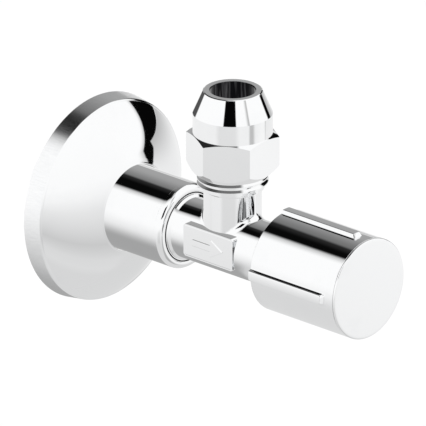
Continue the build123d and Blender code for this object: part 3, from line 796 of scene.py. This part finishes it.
class VALVE_OT_handle(bpy.types.Operator):
    """Model the handle's ribbed barrel, its polished end disc and a black ring of painted shadow in the
    seam between them
    """

    bl_idname = "valve.handle"
    bl_label = "Handle"

    def execute(self, context):
        size = context.scene.valve_sizes
        back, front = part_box("handle_shell")[0][0] / MM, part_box("handle_shell")[1][0] / MM
        self.make_barrel(size, back, front)
        self.make_disc(size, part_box("handle_cap")[0][0] / MM, front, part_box("handle_cap")[1][0] / MM)
        return {"FINISHED"}

    def make_barrel(self, size, back, front):
        radius, inner = size.handle_radius / MM, size.handle_radius / MM - 1.3
        rib_end = front - 2.65
        profile = [(back + 0.02, inner), (back, inner + 0.02), (back, radius - 0.2)]
        profile += arc(back + 0.2, radius - 0.2, 0.2, 180, 90, 3)[1:]
        profile += [(rib_end, radius), (front - 0.12, radius)]
        profile += arc(front - 0.12, radius - 0.12, 0.12, 90, 0, 4)[1:]
        profile += [(front, inner + 0.02), (front - 0.02, inner)]
        segments = size.rib_count * 26
        bm = turned(profile, segments)
        bmesh.ops.remove_doubles(bm, verts=bm.verts[:], dist=MERGE_DISTANCE)
        bmesh.ops.recalc_face_normals(bm, faces=bm.faces[:])
        half = 2.2 * math.tau / segments
        for number in range(size.rib_count):
            self.raise_rib(bm, size, number * math.tau / size.rib_count, half, back, rib_end)
        finished(bm, "handle_barrel", "handle", FINISHES["chrome"], ("handle_shell",), sharp=40.0)

    def raise_rib(self, bm, size, turn, half, back, rib_end):
        """Lift the strip of outer faces at one side of the barrel into a rib with a round nose."""
        out = Vector((0.0, -math.sin(turn), math.cos(turn)))
        strip = []
        for face in bm.faces:
            middle = face.calc_center_median()
            radial = radial_part(middle)
            if (radial.angle(out) < half and (back + 0.3) * MM < middle.x < rib_end * MM
                    and face.normal.dot(radial.normalized()) > 0.9):
                strip.append(face)
        if len(strip) != 4:
            raise RuntimeError("a rib needs four faces of the barrel")
        raised = bmesh.ops.extrude_face_region(bm, geom=strip)["geom"]
        top = {item for item in raised if isinstance(item, bmesh.types.BMVert)}
        bmesh.ops.delete(bm, geom=[face for face in strip if face.is_valid], context="FACES")
        bmesh.ops.translate(bm, verts=list(top), vec=out * size.rib_raise)
        aside = Vector((1.0, 0.0, 0.0)).cross(out)
        for vert in top:
            vert.co -= aside * vert.co.dot(aside) * size.rib_taper
            if vert.co.x > (rib_end - 0.01) * MM:
                vert.co.x -= size.rib_raise * 0.5
        nose = [edge for vert in top for edge in vert.link_edges
                if edge.other_vert(vert) not in top and vert.co.x > (rib_end - 1.0) * MM
                and len([near for near in vert.link_edges if near.other_vert(vert) in top]) == 2]
        round_edges(bm, nose, 1.25 * MM, 6)
        reach = size.handle_radius + size.rib_raise * 0.5
        rim = []
        for edge in bm.edges:
            radial = radial_part(edge_middle(edge))
            if (radial.length > reach and radial.angle(out) < half * 1.3
                    and edge.calc_face_angle(0.0) > 0.9
                    and all(radial_part(vert.co).length > reach for vert in edge.verts)):
                rim.append(edge)
        round_edges(bm, rim, 0.36 * MM, 5)
        foot = []
        for edge in bm.edges:
            mid = edge_middle(edge)
            radial = radial_part(mid)
            if (abs(radial.length - size.handle_radius) < 0.06 * MM and radial.angle(out) < half * 1.3
                    and edge.calc_face_angle(0.0) > 0.7 and mid.x > (back + 0.25) * MM):
                foot.append(edge)
        round_edges(bm, foot, 0.16 * MM, 3)

    def make_disc(self, size, plug_back, seam, front):
        radius = size.handle_radius / MM
        # painted shadow: a thin black ring in the rubber finish sits in the seam between the barrel and the
        # end disc
        shadow = [(seam - 0.10, radius - 0.6), (seam - 0.10, radius - 0.05), (seam + 0.10, radius - 0.05),
                  (seam + 0.10, radius - 0.6)]
        finished(turned(shadow, 128), "seam_painted_shadow_ring", "handle", FINISHES["rubber"])
        seam += 0.02
        profile = [(plug_back, 0.0), (plug_back, radius - 1.45), (plug_back + 0.1, radius - 1.35),
                   (seam, radius - 1.35), (seam, radius - 0.12)]
        profile += arc(seam + 0.1, radius - 0.1, 0.1, 180, 90, 3)[1:]
        profile += arc(front - 0.24, radius - 0.2, 0.2, 90, 6, 6)
        crown = 0.04
        profile += [(front - crown * (r / radius) ** 2, r) for r in (11.2, 10.0, 8.0, 6.0, 4.0, 2.0)]
        profile += [(front, 0.0)]
        finished(turned(profile, 128, closed=False), "handle_disc", "handle", FINISHES["chrome"],
                 ("handle_cap",))


class VALVE_OT_finishes(bpy.types.Operator):
    """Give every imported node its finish"""

    bl_idname = "valve.finishes"
    bl_label = "Finishes"

    def execute(self, context):
        FINISHES.update(make_finishes(context.scene.valve_finish))
        finish_of = {row["node"]: row["material_slot"] for row in frame["record"]["subparts"]}
        finish_of["compression_nut"] = "nut"
        for name, node in frame["nodes"].items():
            node.data.materials.clear()
            node.data.materials.append(FINISHES[finish_of[name]])
            node.visible_glossy = False
        return {"FINISHED"}


class VALVE_PT_sidebar(bpy.types.Panel):
    """Settings and steps, in the order in which they are used"""

    bl_idname = "VALVE_PT_sidebar"
    bl_label = "Angle stop valve"
    bl_space_type = "VIEW_3D"
    bl_region_type = "UI"
    bl_category = "Valve"

    def draw(self, context):
        groups = (context.scene.valve_studio, context.scene.valve_finish, context.scene.valve_sizes)
        for group in groups:
            box = self.layout.box()
            for name in group.__annotations__:
                box.prop(group, name)
        for step in STEPS:
            self.layout.operator(step.bl_idname)


STEPS = (VALVE_OT_stage, VALVE_OT_finishes, VALVE_OT_wall_plate, VALVE_OT_shoulder, VALVE_OT_flow_pad,
         VALVE_OT_handle)
CLASSES = (StudioSettings, FinishSettings, SizeSettings) + STEPS + (VALVE_PT_sidebar,)


def register():
    for cls in CLASSES:
        bpy.utils.register_class(cls)
    bpy.types.Scene.valve_studio = PointerProperty(type=StudioSettings)
    bpy.types.Scene.valve_finish = PointerProperty(type=FinishSettings)
    bpy.types.Scene.valve_sizes = PointerProperty(type=SizeSettings)


def unregister():
    del bpy.types.Scene.valve_sizes
    del bpy.types.Scene.valve_finish
    del bpy.types.Scene.valve_studio
    for cls in reversed(CLASSES):
        bpy.utils.unregister_class(cls)


def main():
    register()
    bpy.ops.valve.stage()
    bpy.ops.valve.finishes()
    bpy.ops.valve.wall_plate()
    bpy.ops.valve.shoulder()
    bpy.ops.valve.flow_pad()
    bpy.ops.valve.handle()


if __name__ == "__main__":
    main()
